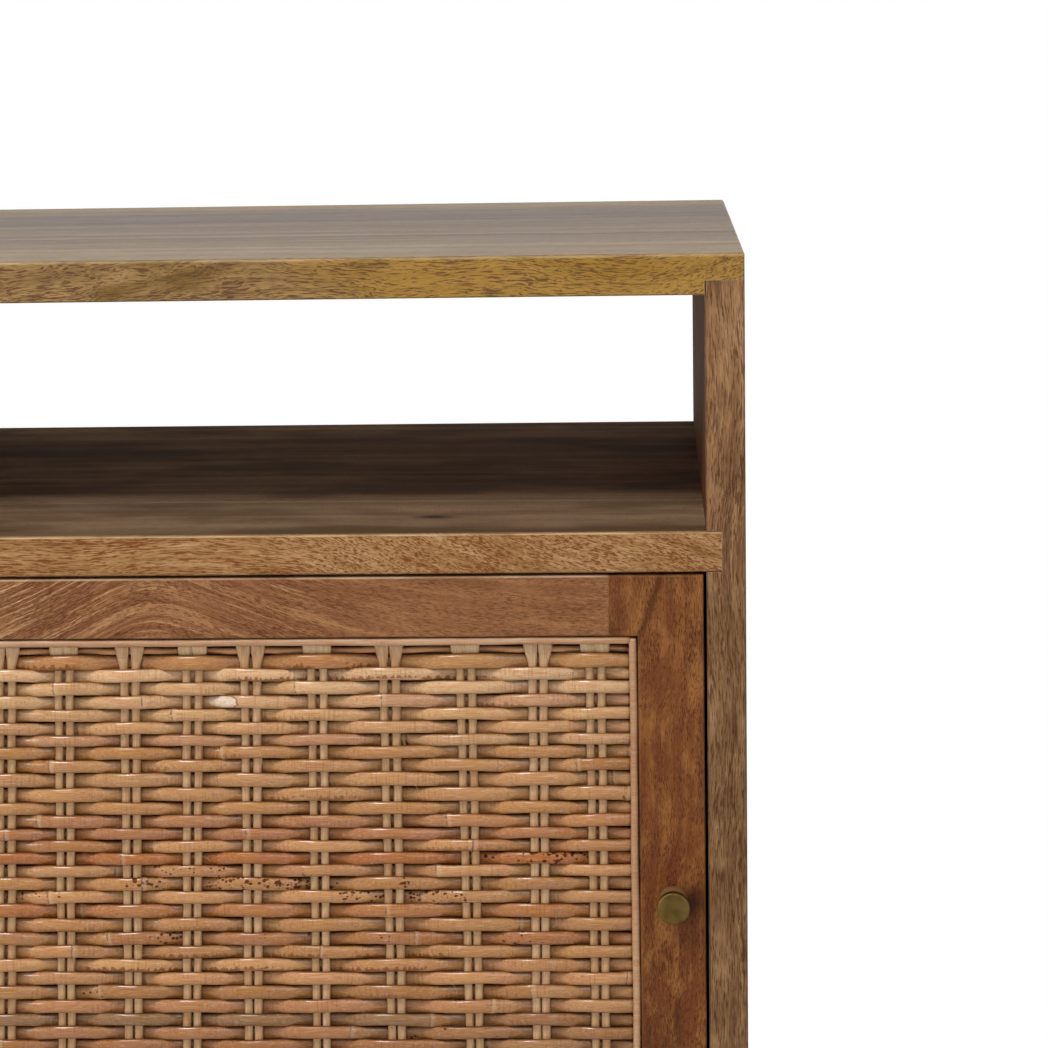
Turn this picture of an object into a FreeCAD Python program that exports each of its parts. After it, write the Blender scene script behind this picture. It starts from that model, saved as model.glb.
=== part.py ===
"""Storage side table with a woven rattan door.

A mango-wood cabinet on four splayed legs. An open slot runs through it from front to back under
the top, and below the slot is a cupboard closed by an inset door, hinged at its left edge. The door
is a wooden frame round a panel of round rattan woven over pairs of stakes.

Millimetres, +Z up. The door faces -Y. The origin is on the floor, under the middle of the whole
object, knob included.
"""
import FreeCAD, Part
import math
import os

os.makedirs("parts", exist_ok=True)
Vector = FreeCAD.Vector

# ---- driving sizes -------------------------------------------------------------------------
# cabinet
width = 470.0
depth = 350.0
leg_height = 98.0
slot_height = 114.0
door_height = 325.0
top_thickness = 20.0
side_thickness = 19.0
shelf_thickness = 20.0
bottom_thickness = 20.0
lap_depth = 7.0            # how far a side panel's end is let into the top or bottom board
housing_depth = 7.5        # how far the shelf is let into the side panels
arris = 0.8                # easing along the long edges of the boards

# back panel, held in grooves
back_thickness = 6.0
back_setback = 8.0         # from the rear edge of the cabinet to the panel
groove_depth = 6.0
back_clearance = 0.25      # between the panel's edge and the floor of its groove

# door frame
door_gap = 1.5             # round all four edges of the door
door_thickness = 20.0
door_arris = 0.6
stile_width = 32.0
rail_height = 30.0
stile_ear = 14.0           # how far a stile's wide ends reach along the rails
tenon_length = 20.0
tenon_thickness = 7.0
tenon_shoulder = 5.0
mortise_clearance = 0.1
ledge_width = 6.0          # the ledge inside the opening that the woven panel lies on

# woven panel
weave_depth = 8.1          # from the door's front face to the middle plane of the weave
weaver_height = 6.5
weaver_thickness = 4.6
weaver_flat_share = 0.4    # share of a weaver's height that is flat at the front
border_height = 7.8        # the first and last weavers are thicker rods
row_gap = 0.25
stake_radius = 1.9
stake_sides = 6            # thin canes are made with flats, to keep the panel light
trim_sides = 8
stake_spacing = 5.5        # between the two stakes of a pair
pair_spacing = 32.0        # between pairs, before they are spread evenly
pair_margin = 20.8         # from the opening's edge to the first pair
crest_length = 10.0        # the flat stretch where a weaver crosses a pair
weave_clearance = 0.05
end_clearance = 0.3        # between the ends of the canes and what they stop against
trim_radius = 2.15
trim_recess = 0.25         # from the door's front face to the front of the trim

# hinges
hinge_height = 50.0
hinge_leaf_width = 18.0
plate_thickness = 1.2      # hinge leaves and the catch's strike plate
hinge_leaf_gap = 0.3
hinge_inset = 45.0         # from the door's end to the hinge's end
barrel_radius = 2.75
barrel_clearance = 0.3
knuckle_gap = 0.3
hinge_pin_radius = 1.5
pin_clearance = 0.05
pin_head_radius = 2.3
pin_head_height = 1.2

# wood screws for hinges and catch
screw_sides = 6            # screws, and the holes for them, are made with flats
screw_head_radius = 2.7    # heads are countersunk to the thickness of a plate
screw_radius = 1.4
screw_length = 15.0
screw_clearance = 0.05
screw_row = 9.0            # from the front edge of a leaf's plate to its screws
screw_pitch = 32.0

# knob and its bolt
knob_projection = 14.5
knob_radius = 8.0
knob_body_radius = 7.0
knob_head_length = 4.0
knob_bevel = 0.7
bolt_radius = 2.0
bolt_hold = 9.0            # how far the bolt goes into the knob
bolt_head_radius = 4.0
bolt_head_height = 2.2
bolt_clearance = 0.25
bolt_sides = 12

# magnetic catch
catch_length = 46.0
catch_height = 12.0
catch_width = 13.0
catch_ear_length = 9.0
catch_ear_height = 3.0
catch_inset = 40.0         # from the right side panel to the catch
magnet_length = 16.0
magnet_height = 8.0
magnet_proud = 0.6
strike_length = 30.0
strike_height = 12.0
catch_air = 0.3            # between magnet and strike when the door is shut

# legs
leg_top = 36.0
leg_foot = 22.0
leg_corner = 0.14          # share of a leg's width taken by each bevelled corner
leg_inset = 13.0           # from the cabinet's faces to the leg's top
leg_splay_degrees = 7.0
pad_thickness = 3.0
pad_margin = 1.5
leg_screw_radius = 4.0
leg_screw_in_leg = 28.0
leg_screw_in_board = 15.0
leg_screw_sides = 8

# ---- places worked out from the sizes ------------------------------------------------------
front = (knob_projection - depth) / 2
back = front + depth
half_width = width / 2
side_inner = half_width - side_thickness

bottom_low = leg_height
bottom_top = bottom_low + bottom_thickness
door_low = bottom_top + door_gap
door_top = door_low + door_height
shelf_low = door_top + door_gap
shelf_top = shelf_low + shelf_thickness
top_low = shelf_top + slot_height
height = top_low + top_thickness

door_half = side_inner - door_gap
door_back = front + door_thickness
opening_half = door_half - stile_width
opening_low = door_low + rail_height
opening_top = door_top - rail_height

back_panel_rear = back - back_setback
back_panel_front = back_panel_rear - back_thickness

weave_plane = front + weave_depth
wave_height = weaver_thickness / 2 + stake_radius + weave_clearance
pair_span = 2 * (opening_half - pair_margin)
pair_count = round(pair_span / pair_spacing) + 1
pair_places = [-pair_span / 2 + i * pair_span / (pair_count - 1) for i in range(pair_count)]
weaver_end = opening_half - 2 * trim_radius - end_clearance
ledge_face = weave_plane + wave_height + weaver_thickness / 2 + weave_clearance
border_inset = ledge_width + end_clearance + border_height / 2

hinge_axis_x = -side_inner + door_gap / 2
hinge_axis_y = front - barrel_radius - barrel_clearance / 2
leaf_start = hinge_axis_y + barrel_radius + barrel_clearance
leaf_end = front + hinge_leaf_width
leaf_seat = hinge_leaf_gap / 2 + plate_thickness
hinge_middles = [door_low + hinge_inset + hinge_height / 2, door_top - hinge_inset - hinge_height / 2]

knob_x = door_half - stile_width / 2
knob_z = (door_low + door_top) / 2


# ---- helpers -------------------------------------------------------------------------------
def block(x0, x1, y0, y1, z0, z1):
    """A box between two corners."""
    low = Vector(min(x0, x1), min(y0, y1), min(z0, z1))
    return Part.makeBox(abs(x1 - x0), abs(y1 - y0), abs(z1 - z0), low)


def rod(radius, start, end):
    """A round bar from one point to another."""
    return Part.makeCylinder(radius, (end - start).Length, start, end - start)


def flat_sided(profile, sides, place, direction):
    """A turned piece made with flats. The profile's points are (distance along the axis, radius)."""
    turn = FreeCAD.Rotation(Vector(0, 0, 1), direction)
    angles = [2 * math.pi * i / sides for i in range(sides)]
    rings = [[place + turn.multVec(Vector(radius * math.cos(a), radius * math.sin(a), along)) for a in angles]
             for along, radius in profile]
    return skin(rings)


def bar(radius, sides, start, end):
    """A straight bar with flats, from one point to another."""
    length = (end - start).Length
    return flat_sided([(0, radius), (length, radius)], sides, start, (end - start) / length)


def edges_at(shape, **planes):
    """The edges that lie wholly at the given coordinates, such as x=10, z=0."""
    tolerance = 1e-6
    found = []
    for edge in shape.Edges:
        ends = [v.Point for v in edge.Vertexes]
        if all(abs(getattr(p, axis) - value) < tolerance for axis, value in planes.items() for p in ends):
            found.append(edge)
    return found


def ease(shape, size, *lines):
    """Breaks the sharp edges that lie on each of the given lines."""
    chosen = [edge for line in lines for edge in edges_at(shape, **line)]
    return shape.makeChamfer(size, chosen)


def skin(rings):
    """A closed solid with flat faces, stretched over rings of equally many points."""
    count = len(rings[0])
    faces = [Part.Face(Part.makePolygon(ring + [ring[0]])) for ring in (rings[0], rings[-1])]
    for ring, following in zip(rings, rings[1:]):
        for i in range(count):
            j = (i + 1) % count
            loop = [ring[i], ring[j], following[j], following[i], ring[i]]
            faces.append(Part.Face(Part.makePolygon(loop)))
    solid = Part.makeSolid(Part.makeShell(faces))
    if solid.Volume < 0:
        solid.reverse()
    return solid


def save(name, *solids):
    """Writes one node: a single solid, or a group of like ones."""
    shape = solids[0] if len(solids) == 1 else Part.makeCompound(list(solids))
    shape.exportStep(f"parts/{name}.step")


# ---- cabinet -------------------------------------------------------------------------------
def lapped_board(low, thickness, lap_low, lap_high):
    """The top or bottom board, with a rebate at each end for the side panels."""
    board = block(-half_width, half_width, front, back, low, low + thickness)
    board = board.makeChamfer(arris, board.Edges)
    for side in (-1, 1):
        rebate = block(side * side_inner, side * (half_width + arris), front - arris, back + arris,
                       lap_low, lap_high)
        board = board.cut(rebate)
    return board


def back_panel_groove(x0, x1, z0, z1):
    """The room that the back panel's edge takes in a board."""
    return block(x0, x1, back_panel_front, back_panel_rear, z0, z1)


def top_board():
    return lapped_board(top_low, top_thickness, top_low - arris, top_low + lap_depth)


def bottom_board():
    board = lapped_board(bottom_low, bottom_thickness, bottom_top - lap_depth, bottom_top + arris)
    board = board.cut(back_panel_groove(-side_inner, side_inner, bottom_top - groove_depth, bottom_top))
    for x, y in leg_places():
        board = board.cut(leg_screw(x, y))
    return board


def side_panel(side):
    """side is -1 for the left panel and 1 for the right one."""
    inner = side * side_inner
    outer = side * half_width
    low = bottom_top - lap_depth
    high = top_low + lap_depth
    panel = block(inner, outer, front, back, low, high)
    panel = ease(panel, arris, {"x": outer, "y": front}, {"x": outer, "y": back},
                 {"x": inner, "y": front}, {"x": inner, "y": back})
    housing = block(inner - side, inner + side * housing_depth, front, back, shelf_low, shelf_top)
    groove = back_panel_groove(inner - side, inner + side * groove_depth,
                               bottom_top - groove_depth, shelf_low + groove_depth)
    return panel.cut(housing).cut(groove)


def slot_shelf():
    """The floor of the slot and the roof of the cupboard."""
    half = side_inner + housing_depth
    shelf = block(-half, half, front, back, shelf_low, shelf_top)
    shelf = ease(shelf, arris, {"y": front, "z": shelf_top}, {"y": front, "z": shelf_low},
                 {"y": back, "z": shelf_top}, {"y": back, "z": shelf_low})
    reach = side_inner + groove_depth
    groove = back_panel_groove(-reach, reach, shelf_low, shelf_low + groove_depth)
    shelf = shelf.cut(groove)
    for x in catch_screw_places():
        shelf = shelf.cut(wood_screw_hole(Vector(x, catch_middle_y(), shelf_low), Vector(0, 0, 1)))
    return shelf


def back_panel():
    reach = side_inner + groove_depth - back_clearance
    return block(-reach, reach, back_panel_front, back_panel_rear,
                 bottom_top - groove_depth + back_clearance, shelf_low + groove_depth - back_clearance)


# ---- door frame ----------------------------------------------------------------------------
def tenon(side, low, clearance):
    """A rail's tenon at one end, or its mortise when a clearance is given."""
    shoulder = opening_half - stile_ear
    middle = (front + door_back) / 2
    half = tenon_thickness / 2 + clearance
    return block(side * shoulder, side * (shoulder + tenon_length + clearance), middle - half, middle + half,
                 low + tenon_shoulder - clearance, low + rail_height - tenon_shoulder + clearance)


def door_stile(side):
    """An upright of the door. Its ends are wider, and meet the rails beyond the opening's corners."""
    edge = side * door_half
    inner = side * opening_half
    ear = side * (opening_half - stile_ear)
    outline = [(edge, door_low), (ear, door_low), (ear, opening_low), (inner, opening_low),
               (inner, opening_top), (ear, opening_top), (ear, door_top), (edge, door_top)]
    points = [Vector(x, front, z) for x, z in outline]
    stile = Part.Face(Part.makePolygon(points + [points[0]])).extrude(Vector(0, door_thickness, 0))
    stile = ease(stile, door_arris, {"x": edge, "y": front}, {"x": inner, "y": front},
                 {"y": front, "z": door_low}, {"y": front, "z": door_top},
                 {"y": front, "z": opening_low}, {"y": front, "z": opening_top})
    ledge = block(inner, inner - side * ledge_width, ledge_face, door_back, opening_low, opening_top)
    stile = stile.fuse(ledge).removeSplitter()
    for low in (door_low, opening_top):
        stile = stile.cut(tenon(side, low, mortise_clearance))
    return stile


def door_stile_left():
    stile = door_stile(-1)
    for middle in hinge_middles:
        stile = stile.cut(leaf_recess(1, middle))
        for place in leaf_screw_places(middle):
            stile = stile.cut(wood_screw_hole(place + Vector(leaf_seat, 0, 0), Vector(1, 0, 0)))
    return stile


def door_stile_right():
    hole = bar(bolt_radius + bolt_clearance, bolt_sides, Vector(knob_x, door_back, knob_z),
               Vector(knob_x, front, knob_z))
    return door_stile(1).cut(hole)


def door_rail(low, ledge_low, ledge_high):
    """A cross-piece of the door with its tenons and its share of the ledge."""
    shoulder = opening_half - stile_ear
    rail = block(-shoulder, shoulder, front, door_back, low, low + rail_height)
    rail = ease(rail, door_arris, {"y": front, "z": low}, {"y": front, "z": low + rail_height})
    half = opening_half - ledge_width
    parts = [block(-half, half, ledge_face, door_back, ledge_low, ledge_high)]
    parts += [tenon(side, low, 0) for side in (-1, 1)]
    return rail.fuse(parts).removeSplitter()


def door_rail_top():
    rail = door_rail(opening_top, opening_top - ledge_width, opening_top)
    return rail.cut(wood_screw_hole(strike_middle(), Vector(0, -1, 0)))


def door_rail_bottom():
    return door_rail(door_low, opening_low, opening_low + ledge_width)


# ---- woven panel ---------------------------------------------------------------------------
def weaver(first_side, section_height):
    """One cane that passes in front of and behind the pairs of stakes by turns.

    first_side is -1 if it starts in front, 1 if it starts behind. Its middle line lies at z = 0,
    and its section is a rod's with a flat front and two sloping faces behind.
    """
    path = []
    side = first_side
    for x in pair_places:
        path += [(x - crest_length / 2, side * wave_height), (x + crest_length / 2, side * wave_height)]
        side = -side
    path[0] = (-weaver_end, path[0][1])
    path[-1] = (weaver_end, path[-1][1])
    half_t = weaver_thickness / 2
    half_h = section_height / 2
    flat = half_h * weaver_flat_share
    section = [(-half_t, -flat), (-half_t, flat), (0, half_h), (half_t, 0), (0, -half_h)]
    rings = [[Vector(x, weave_plane + y + dy, dz) for dy, dz in section] for x, y in path]
    return skin(rings)


def border_places():
    """Heights of the thick rods at the bottom and top of the weave."""
    return [opening_low + border_inset, opening_top - border_inset]


def row_places():
    """Heights of the weavers between the two thick rods."""
    low = border_places()[0] + border_height / 2
    high = border_places()[1] - border_height / 2
    count = int((high - low) // (weaver_height + row_gap))
    pitch = (high - low) / count
    return [high - (i + 0.5) * pitch for i in range(count)]


def woven_rows():
    """The weavers, top row first, each in front where the last was behind."""
    kinds = [weaver(side, weaver_height) for side in (1, -1)]
    return [kinds[i % 2].translated(Vector(0, 0, z)) for i, z in enumerate(row_places())]


def border_rods():
    """The thick rods, bottom and top, each the other way round from the row next to it."""
    bottom_side = -1 if len(row_places()) % 2 else 1
    return [weaver(side, border_height).translated(Vector(0, 0, z))
            for side, z in zip((bottom_side, -1), border_places())]


def stakes():
    low = opening_low + end_clearance
    high = opening_top - end_clearance
    places = [x + side * stake_spacing / 2 for x in pair_places for side in (-1, 1)]
    return [bar(stake_radius, stake_sides, Vector(x, weave_plane, low), Vector(x, weave_plane, high))
            for x in places]


def trim_canes():
    """Thin canes round the opening, in front of the ends of the weave."""
    y = front + trim_recess + trim_radius
    off = trim_radius + weave_clearance
    canes = []
    for z in (opening_low + off, opening_top - off):
        reach = opening_half - weave_clearance
        canes.append(bar(trim_radius, trim_sides, Vector(-reach, y, z), Vector(reach, y, z)))
    low = opening_low + off + trim_radius + weave_clearance
    high = opening_top - off - trim_radius - weave_clearance
    for x in (-opening_half + off, opening_half - off):
        canes.append(bar(trim_radius, trim_sides, Vector(x, y, low), Vector(x, y, high)))
    return canes


# ---- wood screws ---------------------------------------------------------------------------
def wood_screw(place, direction):
    """A countersunk screw with its head's flat face at place, driven along direction."""
    return screw_form(0, place, direction)


def screw_form(clearance, place, direction):
    """A screw's outline, with room round it when a clearance is given."""
    shank = screw_radius + clearance
    profile = [(0, screw_head_radius + clearance), (plate_thickness, shank), (screw_length, shank)]
    return flat_sided(profile, screw_sides, place, direction)


def wood_screw_hole(place, direction):
    """The pilot hole for a screw, from a wooden face inwards."""
    return bar(screw_radius + screw_clearance, screw_sides, place, place + direction * screw_length)


def countersink(place, direction):
    """What a screw takes out of the metal that it holds, from the face that its head lies in."""
    return screw_form(screw_clearance, place, direction)


# ---- hinges --------------------------------------------------------------------------------
def leaf_recess(side, middle):
    """The shallow seat cut for a leaf. side is -1 in the side panel and 1 in the door."""
    x = hinge_axis_x + side * leaf_seat
    return block(x, hinge_axis_x, front - barrel_radius, leaf_end, middle - hinge_height / 2,
                 middle + hinge_height / 2)


def leaf_screw_places(middle):
    """Points on the hinge's middle plane, level with the screws."""
    y = leaf_start + screw_row
    return [Vector(hinge_axis_x, y, middle + side * screw_pitch / 2) for side in (-1, 1)]


def hinge_leaf(side, middle, knuckles):
    """A leaf with its rolled knuckles. side is -1 on the side panel and 1 on the door."""
    near = hinge_axis_x + side * hinge_leaf_gap / 2
    far = hinge_axis_x + side * leaf_seat
    low = middle - hinge_height / 2
    leaf = block(near, far, leaf_start, leaf_end, low, low + hinge_height)
    for start, end in knuckles:
        knuckle = rod(barrel_radius, Vector(hinge_axis_x, hinge_axis_y, start),
                      Vector(hinge_axis_x, hinge_axis_y, end))
        leaf = leaf.fuse([knuckle, block(near, far, hinge_axis_y, leaf_start, start, end)])
    bore = rod(hinge_pin_radius + pin_clearance, Vector(hinge_axis_x, hinge_axis_y, low),
               Vector(hinge_axis_x, hinge_axis_y, low + hinge_height))
    leaf = leaf.cut(bore)
    for place in leaf_screw_places(middle):
        leaf = leaf.cut(countersink(Vector(near, place.y, place.z), Vector(side, 0, 0)))
    return leaf.removeSplitter()


def knuckle_spans(middle):
    """Three knuckles: the outer two belong to the side panel's leaf, the middle one to the door's."""
    low = middle - hinge_height / 2
    third = hinge_height / 3
    return [(low, low + third - knuckle_gap / 2),
            (low + third + knuckle_gap / 2, low + 2 * third - knuckle_gap / 2),
            (low + 2 * third + knuckle_gap / 2, low + hinge_height)]


def hinge_pin(middle):
    low = Vector(hinge_axis_x, hinge_axis_y, middle - hinge_height / 2)
    high = low + Vector(0, 0, hinge_height)
    head = rod(pin_head_radius, high, high + Vector(0, 0, pin_head_height))
    return rod(hinge_pin_radius, low, high).fuse(head).removeSplitter()


def hinge_screws(side):
    """The screws of both leaves on one side, heads flush with the leaves."""
    screws = []
    for middle in hinge_middles:
        for place in leaf_screw_places(middle):
            head = place + Vector(side * hinge_leaf_gap / 2, 0, 0)
            screws.append(wood_screw(head, Vector(side, 0, 0)))
    return screws


def side_panel_left():
    panel = side_panel(-1)
    for middle in hinge_middles:
        panel = panel.cut(leaf_recess(-1, middle))
        for place in leaf_screw_places(middle):
            panel = panel.cut(wood_screw_hole(place - Vector(leaf_seat, 0, 0), Vector(-1, 0, 0)))
    return panel


# ---- knob ----------------------------------------------------------------------------------
def turned(profile, place, direction):
    """A turned solid. The profile's points are (distance along the axis, radius)."""
    points = [Vector(radius, 0, along) for along, radius in profile]
    face = Part.Face(Part.makePolygon(points + [points[0]]))
    solid = face.revolve(Vector(0, 0, 0), Vector(0, 0, 1), 360)
    solid.Placement = FreeCAD.Placement(place, FreeCAD.Rotation(Vector(0, 0, 1), direction))
    return solid


def door_knob():
    """A flat-faced knob: a plain body with a slightly wider head."""
    head_start = knob_projection - knob_head_length
    profile = [(0, 0), (0, knob_body_radius), (head_start, knob_body_radius), (head_start, knob_radius),
               (knob_projection - knob_bevel, knob_radius), (knob_projection, knob_radius - knob_bevel),
               (knob_projection, 0)]
    knob = turned(profile, Vector(knob_x, front, knob_z), Vector(0, -1, 0))
    return knob.cut(knob_bolt())


def knob_bolt():
    """A pan-head bolt from the back of the stile into the knob."""
    reach = door_thickness + bolt_hold
    profile = [(-bolt_head_height, bolt_head_radius), (0, bolt_head_radius), (0, bolt_radius),
               (reach, bolt_radius)]
    return flat_sided(profile, bolt_sides, Vector(knob_x, door_back, knob_z), Vector(0, -1, 0))


# ---- magnetic catch ------------------------------------------------------------------------
def catch_middle_x():
    return side_inner - catch_inset - catch_length / 2


def catch_front_y():
    return door_back + plate_thickness + catch_air + magnet_proud


def catch_middle_y():
    return catch_front_y() + catch_width / 2


def catch_screw_places():
    off = (catch_length - catch_ear_length) / 2
    return [catch_middle_x() - off, catch_middle_x() + off]


def catch_body():
    """The catch's case, under the shelf, with an ear for a screw at each end."""
    y0 = catch_front_y()
    y1 = y0 + catch_width
    x0 = catch_middle_x() - catch_length / 2
    x1 = catch_middle_x() + catch_length / 2
    ears = block(x0, x1, y0, y1, shelf_low - catch_ear_height, shelf_low)
    case = block(x0 + catch_ear_length, x1 - catch_ear_length, y0, y1, shelf_low - catch_height, shelf_low)
    body = ears.fuse(case).removeSplitter().cut(catch_magnet())
    for x in catch_screw_places():
        low = Vector(x, catch_middle_y(), shelf_low - catch_ear_height)
        body = body.cut(countersink(low, Vector(0, 0, 1)))
    return body


def catch_magnet():
    """The magnet stands proud of the case, towards the door."""
    middle_z = shelf_low - catch_height / 2
    return block(catch_middle_x() - magnet_length / 2, catch_middle_x() + magnet_length / 2,
                 catch_front_y() - magnet_proud, catch_middle_y(),
                 middle_z - magnet_height / 2, middle_z + magnet_height / 2)


def catch_screws():
    z = shelf_low - catch_ear_height
    return [wood_screw(Vector(x, catch_middle_y(), z), Vector(0, 0, 1)) for x in catch_screw_places()]


def strike_middle():
    """The middle of the strike's seat on the back of the door, level with the magnet."""
    return Vector(catch_middle_x(), door_back, shelf_low - catch_height / 2)


def strike_plate():
    """The steel plate on the back of the door that the magnet holds."""
    middle = strike_middle()
    plate = block(middle.x - strike_length / 2, middle.x + strike_length / 2,
                  door_back, door_back + plate_thickness,
                  middle.z - strike_height / 2, middle.z + strike_height / 2)
    return plate.cut(countersink(middle + Vector(0, plate_thickness, 0), Vector(0, -1, 0)))


def strike_screw():
    return wood_screw(strike_middle() + Vector(0, plate_thickness, 0), Vector(0, -1, 0))


# ---- legs ----------------------------------------------------------------------------------
def leg_places():
    """The middles of the four leg tops."""
    x = half_width - leg_inset - leg_top / 2
    y_front = front + leg_inset + leg_top / 2
    y_back = back - leg_inset - leg_top / 2
    return [(side * x, y) for y in (y_front, y_back) for side in (-1, 1)]


def square_ring(x, y, z, size):
    """A level square with bevelled corners."""
    half = size / 2
    cut = half - size * leg_corner
    corners = [(half, -cut), (half, cut), (cut, half), (-cut, half),
               (-half, cut), (-half, -cut), (-cut, -half), (cut, -half)]
    return [Vector(x + dx, y + dy, z) for dx, dy in corners]


def foot_middle(x, y):
    """Where a leg's foot stands, splayed out from its top both ways."""
    splay = (leg_height - pad_thickness) * math.tan(math.radians(leg_splay_degrees))
    middle_y = (front + back) / 2
    return x + math.copysign(splay, x), y + math.copysign(splay, y - middle_y)


def leg(x, y):
    foot_x, foot_y = foot_middle(x, y)
    solid = skin([square_ring(foot_x, foot_y, pad_thickness, leg_foot), square_ring(x, y, leg_height, leg_top)])
    return solid.cut(leg_screw(x, y))


def leg_pad(x, y):
    """A felt pad under a foot."""
    foot_x, foot_y = foot_middle(x, y)
    size = leg_foot - 2 * pad_margin
    return skin([square_ring(foot_x, foot_y, 0, size), square_ring(foot_x, foot_y, pad_thickness, size)])


def leg_screw(x, y):
    """A double-ended screw, half in the leg and half in the bottom board."""
    return bar(leg_screw_radius, leg_screw_sides, Vector(x, y, leg_height - leg_screw_in_leg),
               Vector(x, y, leg_height + leg_screw_in_board))


# ---- the nodes -----------------------------------------------------------------------------
save("top_board", top_board())
save("bottom_board", bottom_board())
save("side_panel_left", side_panel_left())
save("side_panel_right", side_panel(1))
save("slot_shelf", slot_shelf())
save("back_panel", back_panel())

save("door_stile_left", door_stile_left())
save("door_stile_right", door_stile_right())
save("door_rail_top", door_rail_top())
save("door_rail_bottom", door_rail_bottom())

save("rattan_weavers", *woven_rows())
save("rattan_border_rods", *border_rods())
save("rattan_stakes", *stakes())
save("rattan_trim_canes", *trim_canes())

save("door_knob", door_knob())
save("door_knob_bolt", knob_bolt())

cabinet_leaves = []
door_leaves = []
for middle in hinge_middles:
    spans = knuckle_spans(middle)
    cabinet_leaves.append(hinge_leaf(-1, middle, [spans[0], spans[2]]))
    door_leaves.append(hinge_leaf(1, middle, [spans[1]]))
save("hinge_leaves_cabinet", *cabinet_leaves)
save("hinge_leaves_door", *door_leaves)
save("hinge_pins", *[hinge_pin(middle) for middle in hinge_middles])

save("cabinet_wood_screws", *hinge_screws(-1), *catch_screws())
save("door_wood_screws", *hinge_screws(1), strike_screw())
save("catch_body", catch_body())
save("catch_magnet", catch_magnet())
save("catch_strike_plate", strike_plate())

for place, name in zip(leg_places(), ("front_left", "front_right", "back_left", "back_right")):
    save(f"leg_{name}", leg(*place))
save("leg_screws", *[leg_screw(*place) for place in leg_places()])
save("leg_pads", *[leg_pad(*place) for place in leg_places()])
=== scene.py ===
"""Looks of the storage side table with a woven rattan door. Metres, in the CAD model's frame."""
import math
import random

import bpy
from mathutils import Matrix, Vector

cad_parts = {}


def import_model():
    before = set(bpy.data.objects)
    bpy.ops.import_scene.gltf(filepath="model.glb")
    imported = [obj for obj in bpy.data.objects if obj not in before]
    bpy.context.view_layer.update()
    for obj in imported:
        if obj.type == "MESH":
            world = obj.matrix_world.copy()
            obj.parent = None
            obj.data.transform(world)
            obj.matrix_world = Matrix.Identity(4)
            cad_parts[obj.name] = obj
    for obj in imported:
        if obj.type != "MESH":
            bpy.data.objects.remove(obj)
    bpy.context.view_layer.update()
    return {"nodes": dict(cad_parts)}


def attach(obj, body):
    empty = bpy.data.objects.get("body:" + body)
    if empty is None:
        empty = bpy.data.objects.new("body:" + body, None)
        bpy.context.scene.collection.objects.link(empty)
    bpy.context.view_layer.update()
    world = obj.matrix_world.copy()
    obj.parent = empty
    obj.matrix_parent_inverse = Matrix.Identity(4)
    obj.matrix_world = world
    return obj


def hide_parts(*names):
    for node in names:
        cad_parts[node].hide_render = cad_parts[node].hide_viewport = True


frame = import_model()

FRONT = -0.16775  # the cabinet's and the door's front face
OPENING_HALF = 0.1825  # half the width of the door's opening
OPENING_LOW = 0.1495
OPENING_TOP = 0.4145
X, Y, Z = 0, 1, 2


# ---- colours and node graphs ----
def rgb(code):
    """An sRGB code such as "a8845c" as linear red, green, blue and alpha."""
    parts = [int(code[i:i + 2], 16) / 255 for i in (0, 2, 4)]
    return tuple(c / 12.92 if c <= 0.04045 else ((c + 0.055) / 1.055) ** 2.4 for c in parts) + (1.0,)


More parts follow.
